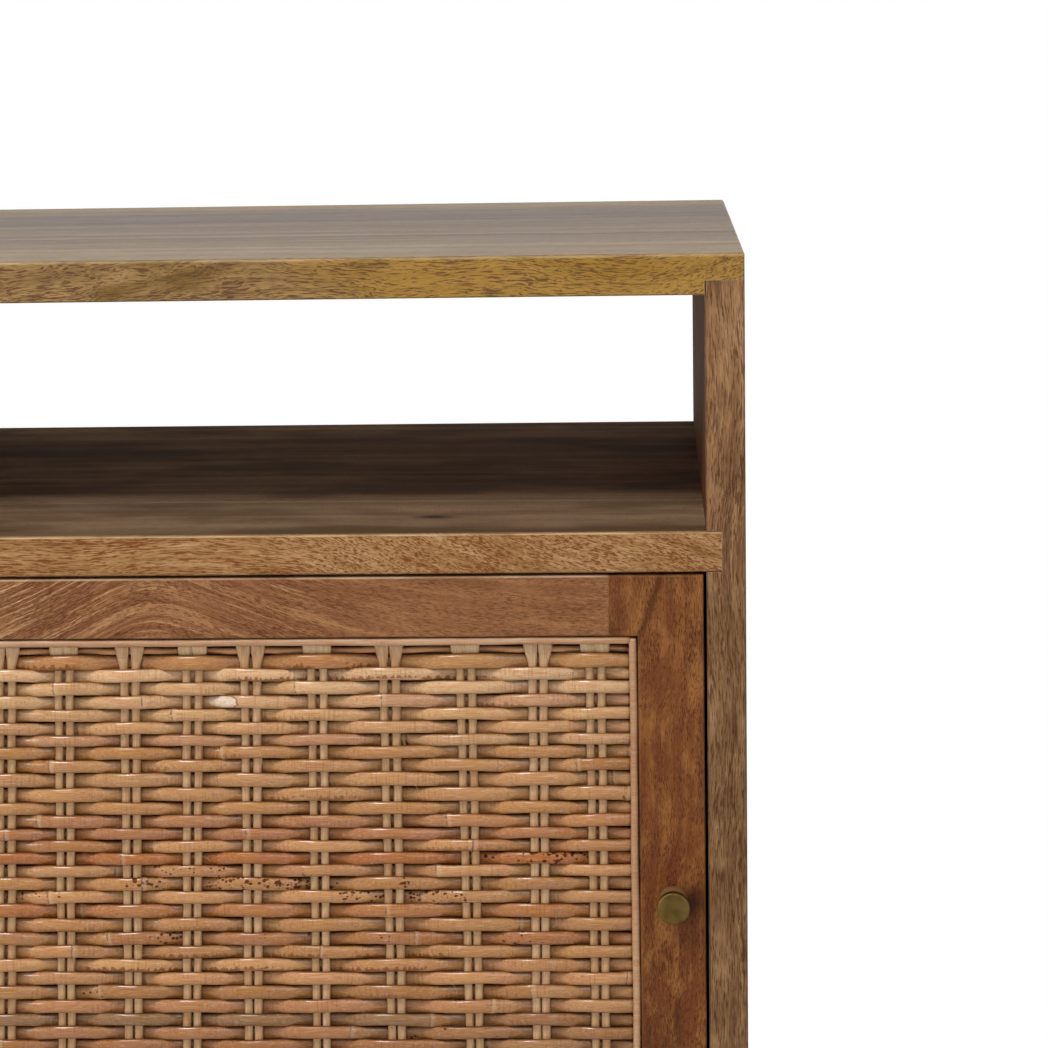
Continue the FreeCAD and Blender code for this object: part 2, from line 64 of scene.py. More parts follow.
class Graph:
    """The nodes of a material or a world. The methods add nodes and return their outputs."""

    def __init__(self, owner):
        self.owner = owner
        owner.use_nodes = True
        self.tree = owner.node_tree
        self.tree.nodes.clear()

    def node(self, kind, *values, **settings):
        """A new node. The values go into its first inputs."""
        node = self.tree.nodes.new(kind)
        for key, value in settings.items():
            setattr(node, key, value)
        for value, socket in zip(values, node.inputs):
            self.put(value, socket)
        return node

    def put(self, value, socket):
        if isinstance(value, bpy.types.NodeSocket):
            self.tree.links.new(value, socket)
        elif value is not None:
            socket.default_value = value

    def math(self, operation, a, b=None):
        return self.node("ShaderNodeMath", a, b, operation=operation).outputs[0]

    def add(self, a, b):
        return self.math("ADD", a, b)

    def sub(self, a, b):
        return self.math("SUBTRACT", a, b)

    def mul(self, a, b):
        return self.math("MULTIPLY", a, b)

    def power(self, a, b):
        return self.math("POWER", a, b)

    def root(self, a):
        return self.math("SQRT", a)

    def absolute(self, a):
        return self.math("ABSOLUTE", a)

    def step(self, value, low, high, to_low=0.0, to_high=1.0):
        """A smooth step of value from low to high."""
        values = value, low, high, to_low, to_high
        return self.node("ShaderNodeMapRange", *values, interpolation_type="SMOOTHSTEP").outputs[0]

    def hump(self, value, middle, half):
        """1 at middle, falling smoothly to 0 at half away from it."""
        return self.step(self.absolute(self.sub(value, middle)), 0.0, half, 1.0, 0.0)

    def oval(self, x, y, middle_x, middle_y, half_x, half_y, power=2.0):
        """0 at an oval's middle and 1 on its rim, growing with the power of the distance."""
        ex = self.power(self.mul(self.sub(x, middle_x), 1 / half_x), power)
        ey = self.power(self.mul(self.sub(y, middle_y), 1 / half_y), power)
        return self.add(ex, ey)

    def vector(self, x, y, z):
        return self.node("ShaderNodeCombineXYZ", x, y, z).outputs[0]

    def split(self, vector):
        return list(self.node("ShaderNodeSeparateXYZ", vector).outputs)

    def noise(self, vector, detail=2.0, roughness=0.5):
        """3D noise of a vector that is already scaled."""
        node = self.node("ShaderNodeTexNoise")
        for key, value in (("Vector", vector), ("Scale", 1.0), ("Detail", detail), ("Roughness", roughness)):
            self.put(value, node.inputs[key])
        return node.outputs["Fac"]

    def stretched(self, place, scales, seed=0.0, detail=2.0, roughness=0.5):
        """3D noise of a place, scaled by axis, with the seed added on the last one."""
        x, y, z = [self.mul(p, s) for p, s in zip(place, scales)]
        return self.noise(self.vector(x, y, self.add(z, seed) if seed else z), detail, roughness)

    def noise1(self, w, detail=1.0):
        """1D noise of a number that is already scaled."""
        node = self.node("ShaderNodeTexNoise", noise_dimensions="1D")
        self.put(w, node.inputs["W"])
        self.put(1.0, node.inputs["Scale"])
        self.put(detail, node.inputs["Detail"])
        return node.outputs["Fac"]

    def dots(self, vector, small, big, more):
        """Round dots, at most one in each cell of the scaled vector, with radii from small to big."""
        node = self.node("ShaderNodeTexVoronoi")
        self.put(vector, node.inputs["Vector"])
        self.put(1.0, node.inputs["Scale"])
        chance = self.split(node.outputs["Color"])[0]
        radius = self.add(self.step(chance, 0.0, 1.0, small, big), more)
        return self.step(self.sub(radius, node.outputs["Distance"]), 0.0, 0.1)

    def mix(self, factor, a, b, blend="MIX"):
        node = self.node("ShaderNodeMix", data_type="RGBA", blend_type=blend)
        for value, number in ((factor, 0), (a, 6), (b, 7)):
            self.put(value, node.inputs[number])
        return node.outputs[2]

    def stain(self, factor, colour, code):
        """The colour multiplied by another, where the factor is 1."""
        return self.mix(factor, colour, self.mix(1.0, colour, rgb(code), "MULTIPLY"))

    def ramp(self, factor, *stops):
        node = self.node("ShaderNodeValToRGB", factor)
        elements = node.color_ramp.elements
        while len(elements) < len(stops):
            elements.new(0.5)
        for element, (place, colour) in zip(elements, stops):
            element.position = place
            element.color = colour
        return node.outputs[0]

    def attribute(self, name, kind="Fac"):
        return self.node("ShaderNodeAttribute", attribute_name=name).outputs[kind]

    def object_place(self):
        """Object coordinates in millimetres, as three sockets."""
        return [self.mul(s, 1000.0) for s in self.split(self.node("ShaderNodeTexCoord").outputs["Object"])]

    def object_normal(self):
        return self.split(self.node("ShaderNodeTexCoord").outputs["Normal"])

    def rounded(self, radius):
        """The normal of edges rounded by radius, and how much it turns from the flat face, 0 to 1."""
        bevel = self.node("ShaderNodeBevel", samples=4)
        bevel.inputs["Radius"].default_value = radius
        flat = self.node("ShaderNodeNewGeometry").outputs["True Normal"]
        dot = self.node("ShaderNodeVectorMath", bevel.outputs[0], flat, operation="DOT_PRODUCT")
        return bevel.outputs[0], self.step(dot.outputs["Value"], 0.72, 0.995, 1.0, 0.0)

    def seen_directly(self):
        """1 for what the camera sees, also in a mirror or through glass, and 0 for other rays."""
        ray = self.node("ShaderNodeLightPath")
        seen = self.math("MAXIMUM", ray.outputs["Is Camera Ray"], ray.outputs["Is Glossy Ray"])
        return self.math("MAXIMUM", seen, ray.outputs["Is Transmission Ray"])

    def finish(self, colour, roughness=0.5, height=None, depth=0.0003, metallic=0.0, specular=0.5,
               coat=0.0, coat_roughness=0.2, normal=None, strength=0.6):
        shader = self.node("ShaderNodeBsdfPrincipled")
        self.put(colour, shader.inputs["Base Color"])
        self.put(roughness, shader.inputs["Roughness"])
        self.put(metallic, shader.inputs["Metallic"])
        self.put(specular, shader.inputs["Specular IOR Level"])
        self.put(coat, shader.inputs["Coat Weight"])
        self.put(coat_roughness, shader.inputs["Coat Roughness"])
        if height is not None:
            bump = self.node("ShaderNodeBump")
            self.put(height, bump.inputs["Height"])
            bump.inputs["Strength"].default_value = strength
            bump.inputs["Distance"].default_value = depth
            self.put(normal, bump.inputs["Normal"])
            self.put(bump.outputs[0], shader.inputs["Normal"])
        self.node("ShaderNodeOutputMaterial", shader.outputs[0])
        return self.owner


def new_graph(name):
    return Graph(bpy.data.materials.new(name))


# ---- wood ----
class Wood(Graph):
    """Lacquered mango wood, in millimetres.

    u runs along the grain, v across it on the board's main face, and w into the board. q and p
    are v and w beside the wandering grain, uqp is a place by them, and local is the grain's
    small irregular part.
    """

    def __init__(self, name, along, across, tones, seed):
        super().__init__(bpy.data.materials.new(name))
        self.place, self.normal = self.object_place(), self.object_normal()
        self.u, self.v, self.w = self.place[along], self.place[across], self.place[3 - along - across]
        self.dark, self.mid, self.light = [rgb(tone) for tone in tones]
        self.seed = seed


def cut_staves(g, width):
    """Cut the board into staves with a grain of their own, and return each one's shade."""
    number = g.math("FLOOR", g.math("DIVIDE", g.add(g.v, width * 10.37), width))
    white = g.node("ShaderNodeTexWhiteNoise", noise_dimensions="1D")
    g.put(g.add(number, g.seed), white.inputs["W"])
    shade = white.outputs["Value"]
    g.u = g.add(g.u, g.mul(shade, 700.0))
    return shade


def run_grain(g, wander, wander_length, slant, bend, arch):
    """Let the grain wander from side to side as it runs along."""
    u, v, w = g.u, g.v, g.w
    drift = g.noise1(g.add(g.mul(u, 1 / wander_length), g.seed))
    swing = g.mul(g.sub(drift, 0.5), wander)
    g.local = g.sub(g.stretched((u, v, w), (1 / 42, 1 / 24, 1 / 24), g.seed), 0.5)
    swing = g.add(swing, g.mul(g.local, wander * 0.12))
    swing = g.add(swing, g.mul(u, -slant))
    if bend:
        start, slope = bend
        past = g.sub(u, start)
        past = g.add(past, g.root(g.add(g.power(past, 2.0), 900.0)))
        swing = g.add(swing, g.mul(past, 0.5 * slope))
    g.swing = swing
    g.q = g.add(v, swing)
    g.p = g.add(w, g.mul(swing, 0.8))
    if arch:
        # lines like a roof with a rounded ridge: left and right are the slopes of its sides
        centre, ridge, left, right, reach = arch
        off = g.sub(u, centre)
        bent = g.mul(g.math("TANH", g.mul(off, 1 / reach)), reach)
        round_off = g.root(g.add(g.power(bent, 2.0), ridge * ridge))
        roof = g.mul(round_off, g.step(off, -25.0, 25.0, left, right))
        g.q = g.add(g.add(v, roof), g.mul(g.local, 3.5))
    g.uqp = g.u, g.q, g.p


def ground(g, length, width, grain):
    """The colour from growth rings, streaks, clouds, and pores in two sizes."""
    seed = g.seed
    depth = g.add(g.q, g.mul(g.p, 0.35))
    rings = g.noise1(g.add(g.mul(depth, 0.20), seed * 3.1), 2.0)
    streaks = g.stretched(g.uqp, (0.014, 0.55, 0.55), seed, 3.0, 0.6)
    g.fibres = g.stretched(g.uqp, (0.09, 2.6, 2.6), 0.0, 2.0, 0.65)
    cloud = g.stretched(g.uqp, (0.016, 0.05, 0.05), seed + 7.0)
    g.pores = g.stretched(g.uqp, (1 / length, 1 / width, 1 / width), seed, 2.0, 0.6)
    g.small = g.stretched(g.uqp, (1.9 / length, 2.0 / width, 2.0 / width), 0.0, 1.5, 0.6)
    tone = g.add(g.mul(rings, 0.34), g.add(g.mul(streaks, 0.36), g.mul(cloud, 0.30)))
    tone = g.add(0.5, g.mul(g.sub(tone, 0.5), 2.2))
    tone = g.sub(tone, g.mul(g.sub(g.pores, 0.5), 1.5 * grain))
    tone = g.sub(tone, g.mul(g.sub(g.small, 0.5), 1.1 * grain))
    return g.ramp(tone, (0.06, g.dark), (0.5, g.mid), (0.94, g.light))


def pale_lines(g, colour, code, strength, pitch, fade_from, fade_to):
    wave = g.noise(g.vector(g.mul(g.u, 0.022), g.mul(g.q, 1 / pitch), g.seed))
    bunch = g.step(g.noise1(g.add(g.mul(g.q, 0.09), 4.0)), 0.42, 0.62, 0.5, 1.0)
    bunch = g.add(g.mul(bunch, 0.75), g.mul(g.hump(g.u, -120.0, 70.0), 0.5))
    seen = g.mul(g.step(wave, 0.54, 0.66), g.step(g.u, fade_from, fade_to, strength, 0.0))
    plain = g.step(g.u, fade_from, fade_to + 30.0, 0.0, 0.45)
    colour = g.mix(plain, colour, g.mix(0.35, g.mid, g.light))
    return g.mix(g.mul(seen, bunch), colour, rgb(code))


def tinted(g, colour, code, share):
    blot = g.stretched(g.uqp, (0.013, 0.07, 0.06), g.seed + 3.0)
    level = 0.62 - 0.2 * share
    over = g.mix(1.0, rgb(code), g.mix(0.5, rgb("808080"), colour), "OVERLAY")
    return g.mix(g.step(blot, level, level + 0.16, 0.0, 0.8), colour, over)


def gilded(g, colour, start, full, code, strength):
    far = g.step(g.add(g.u, g.mul(g.local, 160.0)), start, full, 0.0, strength)
    return g.mix(far, colour, rgb(code))


# painted shade: darker towards the bottom, as if less light reached it from above
def shade_painted_below(g, colour, high, bottom, code, strength):
    height = g.add(g.place[Z], g.mul(g.local, 60.0))
    return g.stain(g.step(height, bottom, high, strength, 0.0), colour, code)


def mottled(g, colour, size, code, strength):
    # weaker on the broad faces of the side panels
    strength = g.step(g.absolute(g.normal[X]), 0.5, 0.9, strength, strength * 0.45)
    blotch = g.stretched(g.uqp, (0.45 / size, 1 / size, 1 / size), 0.0, 3.0, 0.62)
    colour = g.mix(g.step(blotch, 0.45, 0.68, 0.0, strength), colour, rgb(code))
    return g.mix(g.step(blotch, 0.52, 0.32, 0.0, strength), colour, g.light)


def shade_painted_inside(g, colour, code):
    """Painted shade: the side panels' faces that are turned to each other are darker than the outside, as in
    the shade between them.
    """
    inside_shade_mask = g.step(g.mul(g.normal[X], g.math("SIGN", g.place[X])), -0.5, -0.9)
    return g.stain(inside_shade_mask, colour, code)


def streaked(g, colour, middle, half, lean, level, code, strength):
    """One leaning dark streak with a pale one beside it."""
    off = g.add(g.sub(g.v, middle), g.mul(g.sub(g.u, level), -lean))
    off = g.add(off, g.mul(g.local, 5.0))
    colour = g.mix(g.mul(g.hump(off, 0.0, half), strength), colour, rgb(code))
    return g.mix(g.mul(g.hump(off, -half * 1.7, half), strength * 0.5), colour, g.light)


def open_pores(g, share):
    crowd = g.stretched(g.uqp, (0.03, 0.10, 0.10), g.seed + 5.0, 1.0)
    edge = g.add(0.665 - share * 0.13, g.mul(g.sub(crowd, 0.5), -0.28))
    return g.step(g.sub(g.pores, edge), -0.01, 0.06)


def upper_face(g, tones, bands, haze):
    """The colour of the broad upper face, which is smoother and greyer than the edges."""
    u, seed = g.u, g.seed
    run = g.add(g.w, g.add(g.mul(g.swing, 0.10), g.mul(g.local, 2.6)))
    broad = g.noise1(g.add(g.mul(run, 0.055), seed), 3.0)
    soft = g.noise(g.vector(g.mul(u, 0.0028), g.mul(run, 0.085), seed), 3.0, 0.6)
    thin = g.noise(g.vector(g.mul(u, 0.007), g.mul(run, 0.75), seed + 2.0), 2.0, 0.6)
    hair = g.noise(g.vector(g.mul(u, 0.03), g.mul(run, 1.6), seed + 6.0), 2.0, 0.65)
    level = g.add(g.mul(broad, 0.40), g.add(g.mul(soft, 0.38), g.mul(thin, 0.22)))
    face = g.ramp(level, *zip((0.38, 0.50, 0.61), [rgb(tone) for tone in tones]))
    wave = g.add(run, g.mul(g.local, 22.0))
    for middle, half, code, strength in bands:
        face = g.mix(g.mul(g.hump(wave, middle, half), strength), face, rgb(code))
    calm = 0.5 if haze else 1.0
    face = g.stain(g.step(hair, 0.42, 0.72, 0.0, 0.55 * calm), face, "c4b8ac")
    face = g.mix(g.step(thin, 0.52, 0.36, 0.0, 0.22 * calm), face, g.light)
    if haze:
        # painted shade: soft dark clouds over the whole face
        code, strength = haze
        drift = g.noise(g.vector(g.mul(u, 0.009), g.mul(g.w, 0.02), seed + 9.0), 2.5, 0.55)
        face = g.stain(g.step(drift, 0.40, 0.62, 0.0, strength), face, code)
    return face


def knotted(g, colour, up, along, into, long, wide):
    away = g.root(g.oval(g.u, g.w, along, into, long, wide))
    away = g.add(away, g.mul(g.local, 1.6))
    return g.mix(g.mul(g.step(away, 0.35, 1.3, 0.85, 0.0), up), colour, rgb("1a1310"))


def knob_shadow_painted(g, colour, along, across, long, wide, code, strength):
    """A painted shadow of the knob: a soft dark patch beside it, on the front face."""
    away = g.root(g.oval(g.u, g.v, along, across, long, wide))
    away = g.add(away, g.mul(g.local, 0.8))
    front = g.step(g.normal[Y], -0.5, -0.9)
    return g.stain(g.mul(g.step(away, 0.1, 1.1, strength, 0.0), front), colour, code)


def wood(name, along, across, tones, fleck, seed, wander=60.0, wander_length=260.0, slant=0.0,
         bend=None, arch=None, stave=None, grain=1.0, lines=None, tint=None, gold=None, low=None,
         mottle=None, inside_shade=None, streak=None, top=None, top_bands=(), haze=None, knot=None,
         knob_shadow=None, arris=None, painted_lines=(), roughness=0.5, specular=0.3):
    """A material of mango wood.

    along and across are axis numbers: the grain's direction, and the one in which it shows on the
    board's main face. tones run from dark to light. fleck is (colour, amount, share, length, width)
    of the open pores. arris is the colour of the pale edges, partly wear and partly a painted
    highlight along them. painted_lines are (axis, middle, half, colour, strength): pale ones are
    painted highlights along arrises, and a dark one is a painted shadow line. The other tuples go to
    the functions above.
    """
    g = Wood(name, along, across, tones, seed)
    ink, amount, share, length, width = fleck
    shade = cut_staves(g, stave) if stave else None
    run_grain(g, wander, wander_length, slant, bend, arch)
    up = g.step(g.normal[Z], 0.5, 0.9)
    colour = ground(g, length, width, grain)
    for look, values in ((pale_lines, lines), (tinted, tint), (gilded, gold), (shade_painted_below, low),
                         (mottled, mottle), (shade_painted_inside, inside_shade), (streaked, streak)):
        if values:
            colour = look(g, colour, *values)
    if shade:
        colour = g.mix(shade, g.mix(0.3, colour, g.dark), g.mix(0.3, colour, g.light))
    flecks = open_pores(g, share)
    if lines:
        flecks = g.mul(flecks, g.step(g.u, *lines[3:], 1.0, 0.75))
    pits = g.step(g.small, 0.56, 0.74)
    glints = g.step(g.small, 0.46, 0.28)
    if top:
        colour = g.mix(up, colour, upper_face(g, top, top_bands, haze))
        keep = g.sub(1.0, g.mul(up, 0.55))
        flecks, pits, glints = [g.mul(marks, keep) for marks in (flecks, pits, glints)]
    colour = g.stain(g.step(g.fibres, 0.46, 0.74, 0.0, 0.5), colour, "c8bcb2")
    colour = g.mix(g.mul(glints, 0.25), colour, g.light)
    colour = g.mix(g.mul(flecks, amount), colour, rgb(ink))
    colour = g.mix(g.mul(pits, amount * 0.5), colour, rgb(ink))
    if knot:
        colour = knotted(g, colour, up, *knot)
    if knob_shadow:
        colour = knob_shadow_painted(g, colour, *knob_shadow)
    # pale edges along the arrises: partly wear, partly a painted highlight
    turned, wear_and_highlight = g.rounded(0.0007)
    # an arched board is a rail, and its ends get no pale edge of wear and painted highlight, because they
    # meet the stiles
    wear_and_highlight = g.mul(wear_and_highlight, g.step(g.absolute(g.u), 167.0, 168.0, 0.7, 0.0 if arch else 0.7))
    colour = g.mix(wear_and_highlight, colour, rgb(arris) if arris else g.light)
    # painted lines: pale ones are painted highlights along arrises, a dark one is a painted shadow line
    for axis, middle, half, code, strength in painted_lines:
        uneven = g.step(g.noise1(g.add(g.mul(g.u, 0.022), axis + seed), 2.0), 0.36, 0.60, 0.35, 1.0)
        painted_line = g.mul(g.mul(g.hump(g.place[axis], middle, half), strength), uneven)
        colour = g.mix(painted_line, colour, rgb(code))
    height = g.add(g.mul(g.fibres, 0.3), g.add(g.mul(flecks, -0.8), g.mul(pits, -0.3)))
    return g.finish(colour, g.add(roughness, g.mul(g.fibres, 0.14)), height, specular=specular, normal=turned)


def dress(nodes, material):
    for node in nodes.split():
        mesh = frame["nodes"][node].data
        mesh.materials.clear()
        mesh.materials.append(material)


# the pale line under the top's front arris is a painted highlight
dress("top_board", wood(
    "top_wood", X, Z, ("664a2a", "8d6d40", "aa8853"), ("54321a", 0.84, 0.95, 8.0, 0.64), seed=2.3,
    wander=95, wander_length=230, grain=0.34, tint=("8c7420", 0.55), gold=(-20.0, 100.0, "a67c24", 0.6),
    top=("524436", "766554", "948165"),
    top_bands=((85.0, 80.0, "504648", 0.65), (172.0, 40.0, "96805e", 0.85), (-150.0, 100.0, "ae9878", 0.4)),
    arris="dcc498", painted_lines=((Z, 598.9, 1.05, "c8ac78", 0.5),), roughness=0.42, specular=0.25))
# on the shelf, the dark clouds of haze and the darker band at the back are painted shade under the top board
dress("slot_shelf", wood(
    "shelf_wood", X, Z, ("6e4828", "9b744a", "bb966d"), ("74401f", 0.88, 1.0, 7.5, 0.64), seed=8.1,
    wander=26, wander_length=240, bend=(-20.0, 0.28), grain=0.42,
    top=("7c654c", "977c64", "b1967c"), haze=("887e76", 0.65),
    top_bands=((-178.0, 125.0, "6d5c45", 0.85), (100.0, 75.0, "5c4432", 0.5)),
    # the pale line under the shelf's front arris is a painted highlight
    knot=(82.0, -125.0, 15.0, 8.0), arris="dcc098", painted_lines=((Z, 465.2, 0.7, "d8b88c", 0.7),),
    roughness=0.65, specular=0.01))
dress("side_panel_left side_panel_right", wood(
    "side_wood", Z, X, ("5e412f", "8b6747", "ab8662"), ("4c2f1d", 0.72, 0.85, 9.0, 0.58), seed=4.7,
    # painted shade: the side panels darken towards the bottom
    wander=12, wander_length=150, grain=0.34, tint=("7a6248", 0.1), low=(455.0, 425.0, "dfe0dc", 0.9),
    # painted shade: the faces turned to each other are darker
    mottle=(13.0, "644430", 0.4), inside_shade=("b09c90",), arris="a89078", roughness=0.55, specular=0.01))
dress("bottom_board", wood(
    "bottom_wood", X, Z, ("64442a", "946c42", "b48c5c"), ("5a361e", 0.55, 0.7, 9.0, 0.85), seed=5.9,
    wander=40, roughness=0.5, specular=0.15))
dress("back_panel", wood(
    "back_wood", Z, X, ("5a3c26", "7f5a3a", "98704c"), ("4a3020", 0.5, 0.5, 12.0, 0.9), seed=6.6,
    wander=50, stave=75.0, roughness=0.6, specular=0.12))
# on the rail, the dark line along the opening is a painted shadow above the trim, and the pale one a painted
# highlight on its top arris
dress("door_rail_top", wood(
    "rail_top_wood", X, Z, ("5c361e", "815435", "a5774e"), ("522a12", 0.7, 0.8, 3.4, 0.46), seed=1.4,
    wander=24, wander_length=300, grain=0.5, arch=(-56.0, 18.0, 0.62, 0.46, 120.0),
    lines=("be9468", 0.85, 1.2, 0.0, 60.0), mottle=(12.0, "7c4a2c", 0.3), arris="b08a62",
    painted_lines=((Z, 414.5, 1.1, "321a0e", 0.9), (Z, 444.2, 0.7, "dcc0a0", 0.5)),
    roughness=0.45, specular=0.12))
dress("door_rail_bottom", wood(
    "rail_bottom_wood", X, Z, ("653a20", "865434", "a06e48"), ("4c260f", 0.7, 0.8, 5.0, 0.5), seed=9.2,
    wander=36, grain=0.5, tint=("7c462c", 0.5), mottle=(14.0, "734026", 0.3), arris="c8a884",
    roughness=0.45, specular=0.12))
# painted shade: the stiles darken towards the bottom
stile_shade_below = (420.0, 300.0, "ecdfd4", 1.0)
dress("door_stile_right", wood(
    "stile_right_wood", Z, X, ("5a3319", "794926", "966434"), ("44240e", 0.75, 0.75, 3.2, 0.48), seed=3.6,
    wander=8, wander_length=90, slant=0.05, grain=0.4, tint=("734226", 0.5), low=stile_shade_below,
    mottle=(11.0, "663619", 0.65), streak=(187.0, 3.6, 0.37, 425.0, "4a240f", 0.8),
    knob_shadow=(280.5, 207.0, 12.0, 12.0, "705c50", 0.95), arris="a87c52", roughness=0.42, specular=0.12))
dress("door_stile_left", wood(
    "stile_left_wood", Z, X, ("5a341a", "764826", "916133"), ("482710", 0.55, 0.55, 3.6, 0.5), seed=7.3,
    wander=12, slant=-0.06, grain=0.4, tint=("70442a", 0.5), low=stile_shade_below, mottle=(11.0, "6a3b1e", 0.5),
    arris="a87c52", roughness=0.42, specular=0.12))
for number, corner in enumerate(("front_left", "front_right", "back_left", "back_right")):
    dress("leg_" + corner, wood(
        "leg_wood_" + corner, Z, X, ("573a24", "7c5638", "9c7652"), ("4a2e1a", 0.55, 0.65, 9.0, 0.85),
        seed=11.3 + number * 2.9, wander=14, wander_length=120, roughness=0.5, specular=0.15))


# ---- metal, plastic and felt ----
def metal(name, light, dark, grain=(0.03, 0.03, 0.4)):
    """Metal with faint wear and fine marks, stretched by the grain's scales per axis."""
    g = new_graph(name)
    place = [g.mul(s, k) for s, k in zip(g.object_place(), grain)]
    marks = g.noise(g.vector(*place), 3.0, 0.6)
    wear = g.stretched(place, (0.5, 0.5, 0.1))
    colour = g.ramp(g.add(g.mul(marks, 0.5), g.mul(wear, 0.5)), (0.3, rgb(dark)), (0.7, rgb(light)))
    return g.finish(colour, g.add(0.3, g.mul(marks, 0.15)), marks, 0.00003, metallic=1.0)


def speckled(name, light, dark, scale, roughness, depth):
    g = new_graph(name)
    grit = g.stretched(g.object_place(), (scale,) * 3, 0.0, 3.0, 0.7)
    return g.finish(g.ramp(grit, (0.3, rgb(dark)), (0.7, rgb(light))), roughness, grit, depth, specular=0.2)


dress("hinge_leaves_cabinet hinge_leaves_door hinge_pins", metal("hinge_brass", "b08d4e", "8a6a36"))
dress("cabinet_wood_screws door_wood_screws", metal("screw_brass", "a8864c", "7c6034", (0.3, 0.3, 0.3)))
dress("door_knob_bolt leg_screws catch_magnet catch_strike_plate", metal("plain_steel", "a6a6a2", "7e7e7c"))
dress("catch_body", speckled("catch_plastic", "5e4433", "4c3628", 1.2, 0.5, 0.00006))
dress("leg_pads", speckled("pad_felt", "5a4f46", "3c342e", 2.5, 0.95, 0.0003))


# ---- strands ----
def smooth(t):
    t = min(max(t, 0.0), 1.0)
    return t * t * (3 - 2 * t)


def blend(a, b, t):
    return a + (b - a) * t


def blend_colours(a, b, t):
    return tuple(blend(x, y, t) for x, y in zip(a, b))


def link_mesh(name, points, faces, material):
    """A new object in the scene. Faces with four sides are shaded smooth."""
    mesh = bpy.data.meshes.new(name)
    mesh.from_pydata([tuple(point) for point in points], [], faces)
    mesh.update()
    mesh.polygons.foreach_set("use_smooth", [len(face.vertices) == 4 for face in mesh.polygons])
    mesh.materials.append(material)
    piece = bpy.data.objects.new(name, mesh)
    bpy.context.scene.collection.objects.link(piece)
    return piece


def ring_faces(start, rings, sides):
    """The faces of a closed tube whose rings of points follow each other from start."""
    faces = []
    for i in range(rings - 1):
        for k in range(sides):
            a = start + i * sides + k
            b = start + i * sides + (k + 1) % sides
            faces.append((a, b, b + sides, a + sides))
    last = start + (rings - 1) * sides
    faces.append(tuple(range(start + sides - 1, start - 1, -1)))
    faces.append(tuple(range(last, last + sides)))
    return faces


class Strands:
    """One mesh of many canes. Each point carries a colour and some numbers for the material:
    along, the metres along the cane; level, from -1 at its bottom to 1 at its top; joint, the
    metres to its nearest node; spots and peel, how strong those marks are."""

    KEYS = ("along", "level", "joint", "spots", "peel")

    def __init__(self):
        self.points, self.faces, self.colours = [], [], []
        self.numbers = {key: [] for key in self.KEYS}

    def cane(self, path, half_up, half_across, up, colours, sides=12, squareness=2.2, offset=0.0,
             joints=None, spots=None, peel=None):
        start = len(self.points)
        along = offset
        for i, place in enumerate(path):
            tangent = (path[min(i + 1, len(path) - 1)] - path[max(i - 1, 0)]).normalized()
            across = tangent.cross(up).normalized()
            above = across.cross(tangent).normalized()
            if i:
                along += (place - path[i - 1]).length
            for k in range(sides):
                a = 2 * math.pi * k / sides
                ca, sa = math.cos(a), math.sin(a)
                ra = math.copysign(abs(ca) ** (2 / squareness), ca) * half_up[i]
                rb = math.copysign(abs(sa) ** (2 / squareness), sa) * half_across[i]
                self.points.append(place + above * ra + across * rb)
                self.colours.append(colours[i])
                values = (along, ca, joints[i] if joints else 1.0, spots[i] if spots else 0.0,
                          peel[i] if peel else 0.0)
                for key, value in zip(self.KEYS, values):
                    self.numbers[key].append(value)
        self.faces += ring_faces(start, len(path), sides)

    def build(self, name, material, slot, *nodes):
        piece = link_mesh(name, self.points, self.faces, material)
        colour = piece.data.color_attributes.new("tone", "FLOAT_COLOR", "POINT")
        colour.data.foreach_set("color", [c for item in self.colours for c in item])
        for key, values in self.numbers.items():
            piece.data.attributes.new(key, "FLOAT", "POINT").data.foreach_set("value", values)
        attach(piece, "door")
        if nodes:
            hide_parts(*nodes)


